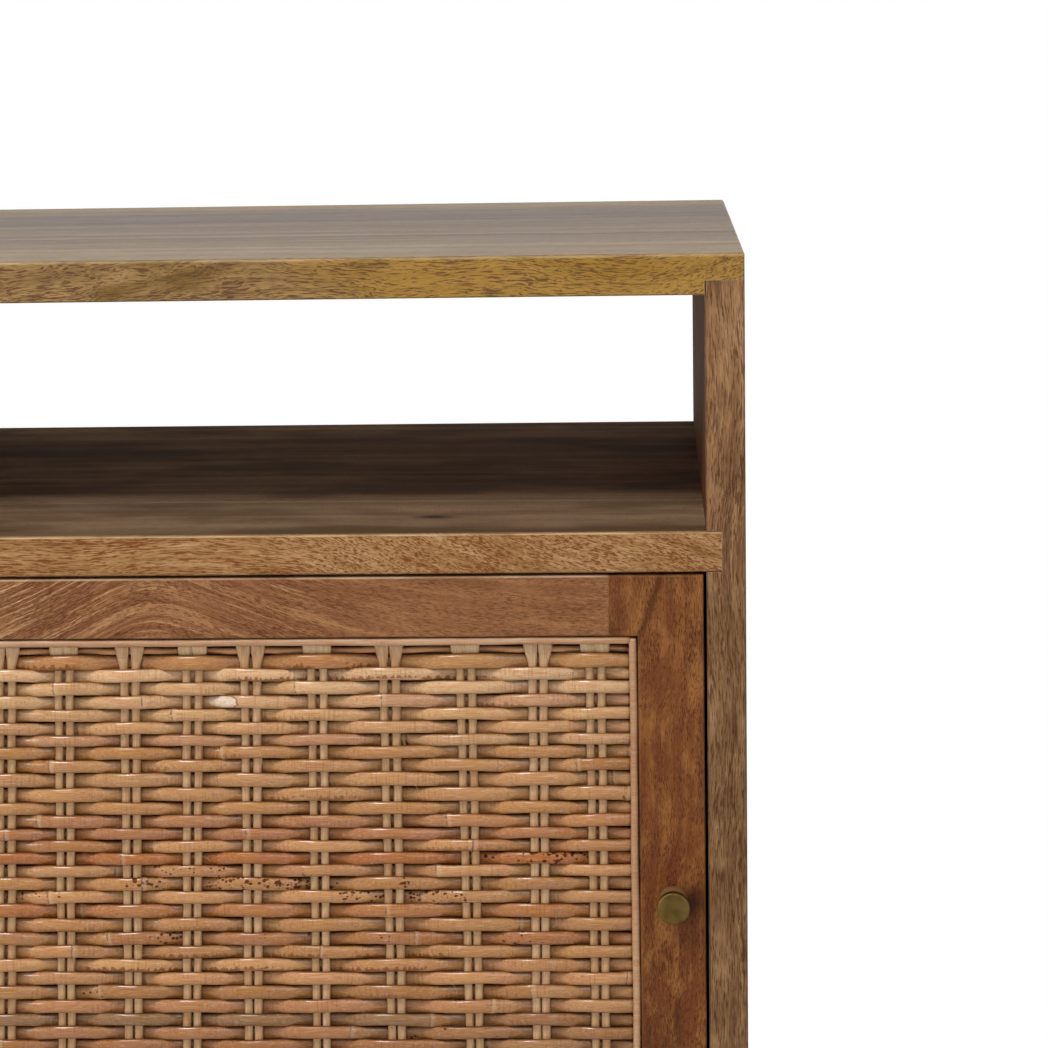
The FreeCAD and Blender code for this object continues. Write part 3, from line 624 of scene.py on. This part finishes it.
def rattan(name, rings=0.3, coat=1.0, fibre_turn=(1, 2), bulge=0.0, scrape=None):
    """Round rattan: fibres along it, faint rings across it, nodes, marks, and a waxy shine.

    fibre_turn names the two axes across the cane. bulge makes the bump map rounder, and any bulge also
    darkens the canes' top and bottom edges as painted shade. scrape is (x, z, half length, half
    height) in millimetres of one place where the skin is scraped off.
    """
    g = new_graph(name)
    tone = g.attribute("tone", "Color")
    place = g.object_place()
    along = g.mul(g.attribute("along"), 1000.0)
    level = g.attribute("level")
    cane = [along] + [place[axis] for axis in fibre_turn]
    fibre = g.stretched(cane, (0.09, 1.7, 2.6), 0.0, 3.0, 0.6)
    patch = g.stretched(cane, (0.045, 0.10, 0.22))
    cloud = g.stretched(cane, (0.06, 0.3, 0.45), 0.0, 2.0, 0.6)
    ring = g.mul(g.step(g.noise1(g.mul(along, 0.85), 1.5), 0.48, 0.66), g.step(patch, 0.47, 0.56))
    colour = g.stain(g.step(cloud, 0.40, 0.68, 0.0, 0.55), tone, "eccba4")
    colour = g.stain(g.step(fibre, 0.40, 0.74, 0.0, 0.55), colour, "ccae92")
    colour = g.mix(g.step(fibre, 0.46, 0.28, 0.0, 0.25), colour, rgb("e2c8a4"))
    colour = g.stain(g.mul(ring, rings), colour, "b48f72")
    # where the skin was peeled the edge is scalloped and the wood under it darker
    teeth = g.step(g.noise1(g.mul(along, 0.42)), 0.36, 0.64)
    peel = g.mul(g.attribute("peel"), g.step(g.add(level, g.mul(teeth, 0.55)), -0.02, -0.14))
    peel = g.mul(peel, g.step(patch, 0.38, 0.48))
    colour = g.mix(peel, colour, rgb("7c4a24"))
    spots = g.attribute("spots")
    more = g.add(g.mul(spots, 0.6), g.add(g.mul(patch, 1.4), -1.2))
    cells = g.vector(*[g.mul(s, k) for s, k in zip(cane, (0.5, 0.5, 0.7))])
    freckle = g.mul(g.dots(cells, -0.4, 0.6, more), g.step(spots, 0.1, 0.4))
    colour = g.mix(g.mul(freckle, 0.88), colour, rgb("451a0a"))
    if scrape:
        middle, _, half, _ = scrape
        away = g.oval(place[X], place[Z], *scrape, 4.0)
        away = g.add(away, g.mul(g.sub(cloud, 0.5), 2.5))
        front = g.step(g.object_normal()[Y], 0.0, -0.2)
        rim = g.mul(g.hump(away, 1.1, 0.45), g.step(place[X], middle, middle + half))
        colour = g.mix(g.mul(g.mul(rim, 0.8), front), colour, rgb("6a4426"))
        bare = g.mul(g.mul(g.step(away, 1.0, 0.4), front), g.step(place[X], middle - half, middle, 0.45, 1.0))
        frayed = g.stretched(cane, (0.2, 2.0, 3.2), 0.0, 3.0, 0.7)
        colour = g.mix(g.mul(bare, g.step(frayed, 0.38, 0.58, 0.9, 0.35)), colour, rgb("e0d4c6"))
    if bulge:
        # painted shade in the gaps between the canes: their top and bottom edges darkened
        colour = g.stain(g.step(g.absolute(level), 0.82, 0.99, 0.0, 0.75), colour, "70523e")
    # nodes: an uneven dark line with a pale scar beside it
    joint = g.add(g.mul(g.attribute("joint"), 1000.0), g.mul(g.sub(fibre, 0.5), 2.2))
    line = g.mul(g.hump(joint, 0.0, 0.6), g.step(cloud, 0.36, 0.56))
    colour = g.mix(g.mul(g.hump(joint, 1.1, 2.0), 0.2), colour, rgb("dcc4a0"))
    colour = g.mix(g.mul(line, 0.8), colour, rgb("4c2e1a"))
    height = g.add(g.mul(fibre, 0.7), g.add(g.mul(ring, -0.35), g.mul(line, -1.2)))
    belly = g.root(g.math("MAXIMUM", g.sub(1.0, g.mul(level, level)), 0.02))
    height = g.add(height, g.mul(belly, bulge))
    # spots and peeled places have no wax on them
    clear = g.sub(1.0, g.math("MAXIMUM", freckle, peel))
    wax = g.mul(g.mul(clear, coat), g.step(cloud, 0.38, 0.6, 0.3, 1.1))
    return g.finish(colour, g.add(0.36, g.mul(cloud, 0.2)), height, 0.00022,
                    specular=0.1 if coat > 0.5 else 0.4, coat=wax, coat_roughness=0.19, strength=0.5)


# ---- the woven panel ----
# the pairs of stakes lean: their places at two levels, and half the distance within each pair
LOW_LEVEL, HIGH_LEVEL = 0.222, 0.393
PAIRS_LOW = (-0.1665, -0.1366, -0.1060, -0.0721, -0.0425, -0.0116, 0.0226, 0.0602, 0.0991, 0.1326, 0.1621)
PAIRS_HIGH = (-0.1600, -0.1291, -0.1001, -0.0674, -0.0363, -0.0076, 0.0253, 0.0608, 0.0983, 0.1336, 0.1617)
SPREAD_LOW = (0.0026, 0.0028, 0.0024, 0.00245, 0.0026, 0.00255, 0.0025, 0.0026, 0.0025, 0.0024, 0.0026)
SPREAD_HIGH = (0.0029, 0.0030, 0.0028, 0.0029, 0.0030, 0.0030, 0.0029, 0.0030, 0.0028, 0.0027, 0.0029)
PAIR_COUNT = len(PAIRS_LOW)

# half sizes of the canes across and into the weave, and how far a row swings to and fro
STAKE_HALF = 0.00205
STAKE_DEEP = 0.0014
WEAVER_DEEP = 0.0018
SWING = STAKE_DEEP + WEAVER_DEEP
WEAVE_PLANE = FRONT + 0.0081
CANE_END = OPENING_HALF - 0.0034
CANE_STEP = 0.0021  # between two rings of a cane's points

ROW_COUNT = 35
ROW_PITCH = 0.00677
ROW_HEIGHT = 0.0067  # of a cane in front of the stakes
ROW_HEIGHT_MORE = 0.0004  # behind them
WEAVE_TOP = 0.3996  # the top of the first row, under the thick rod
# (row, how far its upper edge lies under an even spacing)
ROW_SAG = ((0, 0.0018), (3, 0.0018), (5, 0.0014), (6, 0.0005), (8, 0.0004), (10, 0.0018), (12, 0.0016),
           (14, 0.0006), (16, -0.0001), (18, 0.0), (20, 0.0011), (24, 0.0017), (26, 0.0029), (28, 0.0030),
           (35, 0.0006))

TOP_ROD = 0.40085  # the height of the thick rod over the rows
BOTTOM_ROD = 0.0041  # how far the one under the rows lies below them
ROD_HEIGHT = 0.0079
ROD_JOINT = 0.062
ROD_CHANGE = 0.056  # where the thick rods' peeled part ends and their tone changes

DULL = rgb("94734f")
TAN, PINK, GOLD, BROWN, PALE = rgb("bb8c5a"), rgb("ba865e"), rgb("ac7b43"), rgb("ae6f37"), rgb("c69b6f")
TONES = (TAN, TAN, PINK, PALE, BROWN, GOLD, PALE)
UPPER_TONES, UPPER_ROWS = TONES[:4], 6
# rows of a marked tone, and how strong it is
ROW_TONES = {0: (PALE, 0.8), 1: (PALE, 0.8), 2: (PALE, 0.4), 4: (PINK, 0.7), 6: (GOLD, 0.6), 7: (GOLD, 0.7),
             9: (PALE, 0.5), 11: (PINK, 0.5), 13: (BROWN, 0.6), 14: (BROWN, 0.9), 15: (PINK, 0.8),
             16: (TAN, 0.7), 17: (BROWN, 0.8), 18: (BROWN, 0.6), 19: (PALE, 0.5), 20: (BROWN, 0.5),
             21: (PALE, 0.8), 22: (PALE, 0.8), 23: (PALE, 0.6), 24: (PALE, 0.5), 25: (PALE, 0.8),
             26: (DULL, 0.8), 27: (TAN, 0.6)}
# marks: (row, from, to, strength) in metres across the door
SPOTS = ((14, 0.096, 0.120, 0.6), (14, 0.115, 0.162, 1.0), (15, -0.07, -0.015, 0.6),
         (16, -0.077, -0.052, 0.9), (16, -0.050, 0.037, 1.0), (16, 0.055, 0.072, 0.7),
         (17, -0.14, -0.10, 0.7), (17, 0.030, 0.100, 0.9), (20, -0.065, -0.04, 0.8),
         (20, -0.02, 0.03, 0.5), (20, 0.046, 0.062, 0.6), (20, 0.110, 0.138, 0.7),
         (24, -0.11, -0.08, 0.7), (27, 0.05, 0.12, 0.5))
PEELS = ((0, -0.02, 0.12, 0.75), (2, 0.10, 0.15, 0.6), (3, -0.02, 0.03, 0.4), (6, -0.06, -0.01, 0.6),
         (7, -0.08, -0.02, 0.55), (9, -0.02, 0.05, 0.7), (11, -0.02, 0.03, 0.5), (13, 0.05, 0.12, 0.5),
         (18, -0.14, -0.02, 0.5), (19, -0.12, 0.0, 0.5), (21, -0.08, 0.09, 0.8), (22, -0.10, 0.09, 0.8),
         (24, 0.02, 0.12, 0.45), (26, -0.05, 0.04, 0.4), (30, 0.0, 0.08, 0.5), (32, -0.12, -0.04, 0.5))
# loose fibres and, without a lift, dark cracks: (x, row, length, direction, lift)
HAIRS = ((-0.0045, 7, 0.009, 0.6, 0.0028), (0.0, 8, 0.006, -0.5, 0.0028), (-0.030, 14, 0.009, 1.9, 0.0028),
         (0.0725, 9, 0.007, 0.7, 0.0028), (0.043, 0, 0.007, 1.0, 0.0028), (-0.085, 16, 0.007, 2.2, 0.0028),
         (0.139, 19, 0.006, 0.4, 0.0028), (-0.062, 21, 0.008, 2.6, 0.0028), (0.09, 24, 0.007, 0.9, 0.0028),
         (0.0155, 15, 0.006, -1.3, 0.0), (0.1165, 27, 0.003, -1.0, 0.0))


def along_table(table, key):
    for (k0, v0), (k1, v1) in zip(table, table[1:]):
        if key <= k1:
            return blend(v0, v1, (key - k0) / (k1 - k0))
    return table[-1][1]


def row_edge(row):
    """The height of a row's upper edge between the stakes."""
    return WEAVE_TOP - row * ROW_PITCH - along_table(ROW_SAG, row)


def lean(z):
    return (z - LOW_LEVEL) / (HIGH_LEVEL - LOW_LEVEL)


def pair_place(j, z):
    return blend(PAIRS_LOW[j], PAIRS_HIGH[j], lean(z))


def pairs_at(z):
    return [pair_place(j, z) for j in range(PAIR_COUNT)]


def side_of(row, j):
    """1 where the row passes behind pair j, -1 where it passes in front."""
    return 1 if (row + PAIR_COUNT - 1 - j) % 2 == 0 else -1


def swing_at(row, x, pairs):
    """How far the row is from the weave's middle plane at x, from -1 in front to 1 behind."""
    if x <= pairs[0]:
        return side_of(row, 0) * (1 - 0.85 * smooth((pairs[0] - x - 0.004) / 0.011))
    if x >= pairs[-1]:
        side = side_of(row, PAIR_COUNT - 1)
        rest = -0.2 if side < 0 else 0.5
        return side + (rest - side) * smooth((x - pairs[-1] - 0.003) / 0.012)
    j = max(k for k in range(len(pairs)) if pairs[k] <= x)
    t = (x - pairs[j]) / (pairs[j + 1] - pairs[j])
    t = min(max((t - 0.05) / 0.90, 0.0), 1.0)
    return side_of(row, j) * math.cos(math.pi * t)


def woven_place(x, z, s, wobble):
    """A point of a row's middle line. It drops a little behind the stakes, more in lower rows."""
    dip = 0.27 + (0.40 - z) * 0.6
    return Vector((x, WEAVE_PLANE + s * SWING, z + wobble - s * SWING * dip))


def mark_at(table, row, x):
    """How strong the row's mark is at x, with soft ends."""
    return max([strength * smooth((x - low) / 0.006) * smooth((high - x) / 0.006)
                for r, low, high, strength in table if r == row] + [0.0])


def cane_places(joints):
    """Places along a cane, closer together round its nodes."""
    count = int(2 * CANE_END / CANE_STEP) + 1
    places = [-CANE_END + 2 * CANE_END * i / count for i in range(count + 1)]
    for joint in joints:
        places += [joint + d for d in (-0.002, -0.0009, -0.0003, 0.0003, 0.0009, 0.002)]
    return sorted(x for x in places if -CANE_END <= x <= CANE_END)


def nearest_joint(x, joints):
    return min((x - joint for joint in joints), key=abs)


def cane_tones(xs, joints, dice, tones, marked=None):
    """A cane keeps one tone between two nodes, and changes a little at each."""
    main, other = dice.choice(tones), dice.choice(tones)
    if marked:
        main = blend_colours(main, *marked)
    shades = []
    for _ in range(len(joints) + 1):
        light = dice.uniform(0.9, 1.08)
        shades.append(tuple(c * light for c in blend_colours(main, other, dice.choice((0.0, 0.3, 0.8)))))
    return [shades[sum(1 for n in joints if n <= x)] for x in xs]


def height_fade(z):
    """The canes are deeper in colour lower down, and a little darker near the bottom."""
    t = smooth((0.376 - z) / 0.026)
    u = 1 - 0.18 * smooth((0.225 - z) / 0.02)
    return (1.07 - 0.21 * t) * u, (1.17 - 0.39 * t) * u, (1.28 - 0.65 * t) * u, 1.0


def weave_rows(dice):
    rows = Strands()
    for row in range(ROW_COUNT):
        upper, lower = row_edge(row), row_edge(row + 1)
        z = (upper + lower) / 2
        size = min(max((upper - lower) / ROW_PITCH, 0.86), 1.08)
        pairs = pairs_at(z)
        joints = [-CANE_END + dice.uniform(0.0, 0.12)]
        while joints[-1] < CANE_END:
            joints.append(joints[-1] + dice.uniform(0.11, 0.27))
        xs = cane_places(joints)
        phase_a, phase_b, phase_c = [dice.uniform(0, 6.3) for _ in range(3)]
        tones = cane_tones(xs, joints, dice, UPPER_TONES if row < UPPER_ROWS else TONES, ROW_TONES.get(row))
        colours = [tuple(c * f for c, f in zip(tone, height_fade(z))) for tone in tones]
        near = [nearest_joint(x, joints) for x in xs]
        path, tall, thick = [], [], []
        for x, joint in zip(xs, near):
            s = swing_at(row, x, pairs)
            wobble = 0.00022 * math.sin(x * 61 + phase_a) + 0.00014 * math.sin(x * 173 + phase_b)
            path.append(woven_place(x, z, s, wobble))
            knuckle = 1 + 0.06 * math.exp(-(joint / 0.0022) ** 2)
            swell = 1 + 0.03 * math.sin(x * 97 + phase_c) + 0.012 * math.sin(x * 610 + phase_a)
            height = ROW_HEIGHT + ROW_HEIGHT_MORE * smooth((s + 0.2) / 0.8)
            tall.append(height / 2 * size * knuckle * swell)
            thick.append(WEAVER_DEEP * knuckle)
        rows.cane(path, tall, thick, Vector((0, 0, 1)), colours, sides=16, squareness=2.1,
                  offset=dice.uniform(0, 30), joints=near, spots=[mark_at(SPOTS, row, x) for x in xs],
                  peel=[mark_at(PEELS, row, x) for x in xs])
    return rows


def border_rods(dice):
    """The thick rods that close the weave, and a thin straight one behind the top one's stakes."""
    rods = Strands()
    up = Vector((0, 0, 1))
    left_tone, right_tone = rgb("ae7b48"), rgb("b1834f")
    for row, z in ((-1, TOP_ROD), (ROW_COUNT, row_edge(ROW_COUNT) - BOTTOM_ROD)):
        pairs = pairs_at(z)
        joints = [-0.09 + dice.uniform(0, 0.03), ROD_JOINT]
        path, tall, near, peel, colours = [], [], [], [], []
        for x in cane_places(joints):
            s = swing_at(row, x, pairs)
            path.append(woven_place(x, z, s, 0.00025 * math.sin(x * 55) + 0.0001 * math.sin(x * 190)))
            height = ROD_HEIGHT - 0.0005 * smooth((s + 0.2) / 1.2)
            tall.append(0.5 * height * (1 - 0.12 * smooth((x - 0.155) / 0.02)))
            near.append(nearest_joint(x, joints))
            peel.append(0.9 * smooth((x - 0.005) / 0.01) * smooth((ROD_CHANGE - x) / 0.006)
                        + mark_at(((row, -0.14, -0.09, 0.8),), row, x))
            colours.append(blend_colours(left_tone, right_tone, smooth((x - ROD_CHANGE) / 0.004)))
        rods.cane(path, tall, [0.0021] * len(path), up, colours, sides=14, offset=dice.uniform(0, 30),
                  joints=near, peel=peel)
    count, radius = 81, 0.0017
    xs = [-CANE_END + 2 * CANE_END * i / (count - 1) for i in range(count)]
    path = [Vector((x, FRONT + 0.0100, 0.4063 + 0.0002 * math.sin(i))) for i, x in enumerate(xs)]
    rods.cane(path, [radius] * count, [radius] * count, up, [rgb("c89468")] * count)
    return rods


def stake_canes(dice):
    """The pairs of stakes. At the top rod's level their ends are beaten flat and broad."""
    stakes = Strands()
    high, low = OPENING_TOP - 0.0040, OPENING_LOW + 0.0040
    count = 130
    for j in range(PAIR_COUNT):
        over = side_of(-1, j) == 1       # the pair passes in front of the top rod
        flare_from, flare_long = (0.3975, 0.0125) if over else (0.4025, 0.0030)
        flat_spread, flat_half, flat_forward, flat_tone = (
            (0.0037, 0.0036, 0.0008, "cda982") if over else (0.0034, 0.0038, 0.0012, "e6c89c"))
        for side in (-1, 1):
            tone = blend_colours(rgb("bc976b"), rgb("cca880"), dice.random())
            phase = dice.uniform(0, 6.3)
            size = dice.uniform(0.95, 1.04)
            path, wide, deep, colours = [], [], [], []
            for i in range(count):
                z = low + (high - low) * i / (count - 1)
                spread = blend(SPREAD_LOW[j], SPREAD_HIGH[j], lean(z))
                flare = smooth((z - flare_from) / flare_long)
                x = pair_place(j, z) + side * blend(spread, flat_spread, flare)
                x += 0.00013 * math.sin(z * 130 + phase)
                path.append(Vector((x, WEAVE_PLANE - flare * flat_forward, z)))
                wide.append(blend(STAKE_HALF * size, flat_half, flare))
                deep.append(blend(STAKE_DEEP, 0.0010, flare))
                colours.append(blend_colours(tone, rgb(flat_tone), 0.85 * flare))
            stakes.cane(path, wide, deep, Vector((1, 0, 0)), colours, offset=dice.uniform(0, 30))
    return stakes


def trim_canes(dice):
    """Thin canes along the four edges of the opening: two level ones, then two upright ones."""
    trims = Strands()
    radius = 0.0019
    y = FRONT + 0.00005 + radius
    side_x = OPENING_HALF - 0.0024
    reach = side_x - 0.0012
    z0, z1 = OPENING_LOW + 0.0012, OPENING_TOP - 0.0013
    lines = []
    for z in (OPENING_LOW + 0.0023, OPENING_TOP - 0.00235):
        lines.append(([Vector((-reach + 2 * reach * i / 159, y, z)) for i in range(160)], Vector((0, 0, 1))))
    for x in (-side_x, side_x):
        lines.append(([Vector((x, y, z0 + (z1 - z0) * i / 129)) for i in range(130)], Vector((1, 0, 0))))
    for line, up in lines:
        phase = dice.uniform(0, 6.3)
        path, sizes, colours = [], [], []
        for i, place in enumerate(line):
            s = (place - line[0]).length
            wave = 0.00011 * math.sin(s * 48 + phase) + 0.00007 * math.sin(s * 131 + phase)
            path.append(place + up * wave)
            tip = min(i, len(line) - 1 - i)
            sizes.append(radius * (0.98 + 0.03 * math.sin(s * 37 + phase)) * (0.8 if tip == 0 else 1.0))
            colours.append(blend_colours(rgb("b79270"), rgb("ac8360"), 0.5 + 0.5 * math.sin(s * 23 + phase)))
        trims.cane(path, sizes, sizes, up, colours, squareness=2.1, offset=dice.uniform(0, 30))
    return trims


def loose_hairs():
    hairs = Strands()
    for x, row, long, turn, lift in HAIRS:
        z = (row_edge(row) + row_edge(row + 1)) / 2
        radius, tone = (0.00011, "c9b08c") if lift else (0.00024, "24120a")
        path = []
        for i in range(9):
            t = i / 8
            a = turn + 0.9 * t
            path.append(Vector((x + math.cos(a) * long * t, WEAVE_PLANE - 0.0045 - lift * math.sin(2.6 * t),
                                z + math.sin(a) * long * t)))
        sizes = [radius * (1 - 0.6 * i / 8) for i in range(9)]
        hairs.cane(path, sizes, sizes, Vector((0, 1, 0)), [rgb(tone)] * 9, sides=6)
    return hairs


dice = random.Random(41)
scraped = (-21.9, (row_edge(2) + row_edge(3)) * 500 + 0.7, 7.4, 2.9)
weave_rows(dice).build(
    "rattan_rows", rattan("rattan_row", bulge=6.0, scrape=scraped), "rattan", "rattan_weavers")
border_rods(dice).build(
    "rattan_thick_rods", rattan("rattan_rod", 0.1, 0.7, bulge=3.0), "rattan_rod", "rattan_border_rods")
stake_canes(dice).build(
    "rattan_stake_pairs", rattan("rattan_stake", 0.1, 0.15, (0, 1)), "rattan", "rattan_stakes")
trim_canes(dice).build(
    "rattan_trim", rattan("rattan_trim", 0.12, 0.15), "rattan_trim", "rattan_trim_canes")
loose_hairs().build("rattan_loose_hairs", rattan("rattan_hair", 0.0, 0.0), "rattan")


# ---- knob ----
KNOB_X, KNOB_Z = 0.1985, 0.282
NECK_END = (-178.5, -178.1)  # the neck passes into the head between these, in millimetres
# (distance from the door's face, radius)
KNOB_PROFILE = ((0.0, 0.0066), (0.0003, 0.0070), (0.0102, 0.0070), (0.0104, 0.0071), (0.0105, 0.0077),
                (0.0108, 0.0080), (0.0136, 0.0080), (0.0140, 0.00792), (0.0143, 0.00765),
                (0.01445, 0.0073), (0.0145, 0.0068))


def knob_metal():
    g = new_graph("aged_brass")
    x, y, z = g.object_place()
    radius = g.root(g.oval(x, z, KNOB_X * 1000, KNOB_Z * 1000, 1.0, 1.0))
    turning = g.noise1(g.mul(radius, 3.0), 2.0)
    haze = g.stretched((x, y, z), (0.12, 0.12, 0.12))
    # painted light: the neck is lighter and less metallic, as if lit from above
    neck = g.step(y, *NECK_END)
    colour = g.ramp(haze, (0.35, rgb("54431f")), (0.65, rgb("6c5530")))
    colour = g.mix(neck, colour, rgb("a07c50"))
    # painted light: the head's left side is lighter, as if lit from the left
    colour = g.mix(g.step(x, 196.0, 190.5, 0.0, 0.35), colour, rgb("8a6c40"))
    shine = g.step(y, *NECK_END, 1.0, 0.45)
    return g.finish(colour, g.add(0.42, g.mul(turning, 0.1)), turning, 0.00002, metallic=shine)


def lathe(name, profile, place, direction, material):
    """A turned piece along a direction from a place."""
    sides = 72
    turn = Vector((0, 0, 1)).rotation_difference(direction)
    points = []
    for along, radius in profile:
        for k in range(sides):
            a = 2 * math.pi * k / sides
            points.append(place + turn @ Vector((radius * math.cos(a), radius * math.sin(a), along)))
    return link_mesh(name, points, ring_faces(0, len(profile), sides), material)


knob = lathe("knob", KNOB_PROFILE, Vector((KNOB_X, FRONT, KNOB_Z)), Vector((0, -1, 0)), knob_metal())
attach(knob, "door")
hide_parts("door_knob")


# ---- floor, light and camera ----
def floor():
    """A floor with the shadow near the table, and white further away."""
    g = new_graph("floor_white")
    x, y, _ = g.object_place()
    away = g.root(g.add(g.mul(x, x), g.mul(y, y)))
    white = g.mul(g.seen_directly(), g.step(away, 260.0, 450.0, 0.45))
    diffuse = g.node("ShaderNodeBsdfDiffuse", (0.86, 0.86, 0.86, 1.0))
    glow = g.node("ShaderNodeEmission")
    both = g.node("ShaderNodeMixShader", white, diffuse.outputs[0], glow.outputs[0])
    g.node("ShaderNodeOutputMaterial", both.outputs[0])
    size = 12.0
    corners = [(-size, -size, 0), (size, -size, 0), (size, size, 0), (-size, size, 0)]
    piece = link_mesh("floor", corners, [(0, 1, 2, 3)], g.owner)


def world():
    """A dim room for the light, which the camera sees as white."""
    space = bpy.data.worlds.new("studio")
    bpy.context.scene.world = space
    g = Graph(space)
    room = g.node("ShaderNodeBackground", (1.0, 0.98, 0.96, 1.0), 0.28)
    white = g.node("ShaderNodeBackground", (1.0, 1.0, 1.0, 1.0), 1.0)
    both = g.node("ShaderNodeMixShader", g.seen_directly(), room.outputs[0], white.outputs[0])
    g.node("ShaderNodeOutputWorld", both.outputs[0])


def softbox(name, place, target, width, height, power):
    data = bpy.data.lights.new(name, "AREA")
    data.shape = "RECTANGLE"
    data.size, data.size_y, data.energy = width, height, power
    lamp = bpy.data.objects.new(name, data)
    lamp.location = place
    lamp.rotation_euler = (Vector(target) - Vector(place)).to_track_quat("-Z", "Y").to_euler()
    lamp.visible_camera = False
    bpy.context.scene.collection.objects.link(lamp)


def camera(place, yaw, pitch, roll, lens, shift_y):
    """The photograph's viewpoint, solved from the table's edges in it. The angles are in degrees."""
    yaw, pitch, roll = [math.radians(angle) for angle in (yaw, pitch, roll)]
    forward = Vector((math.sin(yaw) * math.cos(pitch), math.cos(yaw) * math.cos(pitch), -math.sin(pitch)))
    right = Vector((math.cos(yaw), -math.sin(yaw), 0.0))
    up = right.cross(forward)
    side = right * math.cos(roll) + up * math.sin(roll)
    rise = up * math.cos(roll) - right * math.sin(roll)
    data = bpy.data.cameras.new("camera")
    data.sensor_width = 36.0
    data.lens, data.shift_y = lens, shift_y
    data.clip_start, data.clip_end = 0.05, 60.0
    piece = bpy.data.objects.new("camera", data)
    turn = Matrix((side, rise, -forward)).transposed().to_4x4()
    piece.matrix_world = Matrix.Translation(place) @ turn
    bpy.context.scene.collection.objects.link(piece)
    bpy.context.scene.camera = piece


floor()
world()
softbox("key", (-1.0, -2.0, 3.0), (0.05, -0.1, 0.38), 1.3, 1.0, 83.0)
softbox("fill", (1.4, -2.6, 1.3), (0.0, 0.0, 0.35), 1.6, 1.4, 14.0)
softbox("side", (-1.9, -1.3, 0.6), (0.1, -0.17, 0.3), 0.4, 0.4, 6.0)
softbox("back_left", (-2.1, 1.5, 0.3), (0.0, 0.1, 0.3), 1.2, 0.5, 16.0)
softbox("back_right", (2.1, 1.5, 0.3), (0.0, 0.1, 0.3), 1.2, 0.5, 20.0)
camera((0.18882, -1.45795, 0.71765), yaw=-2.643, pitch=8.643, roll=-0.973, lens=93.7, shift_y=-0.10)
bpy.context.scene.view_settings.view_transform = "Standard"
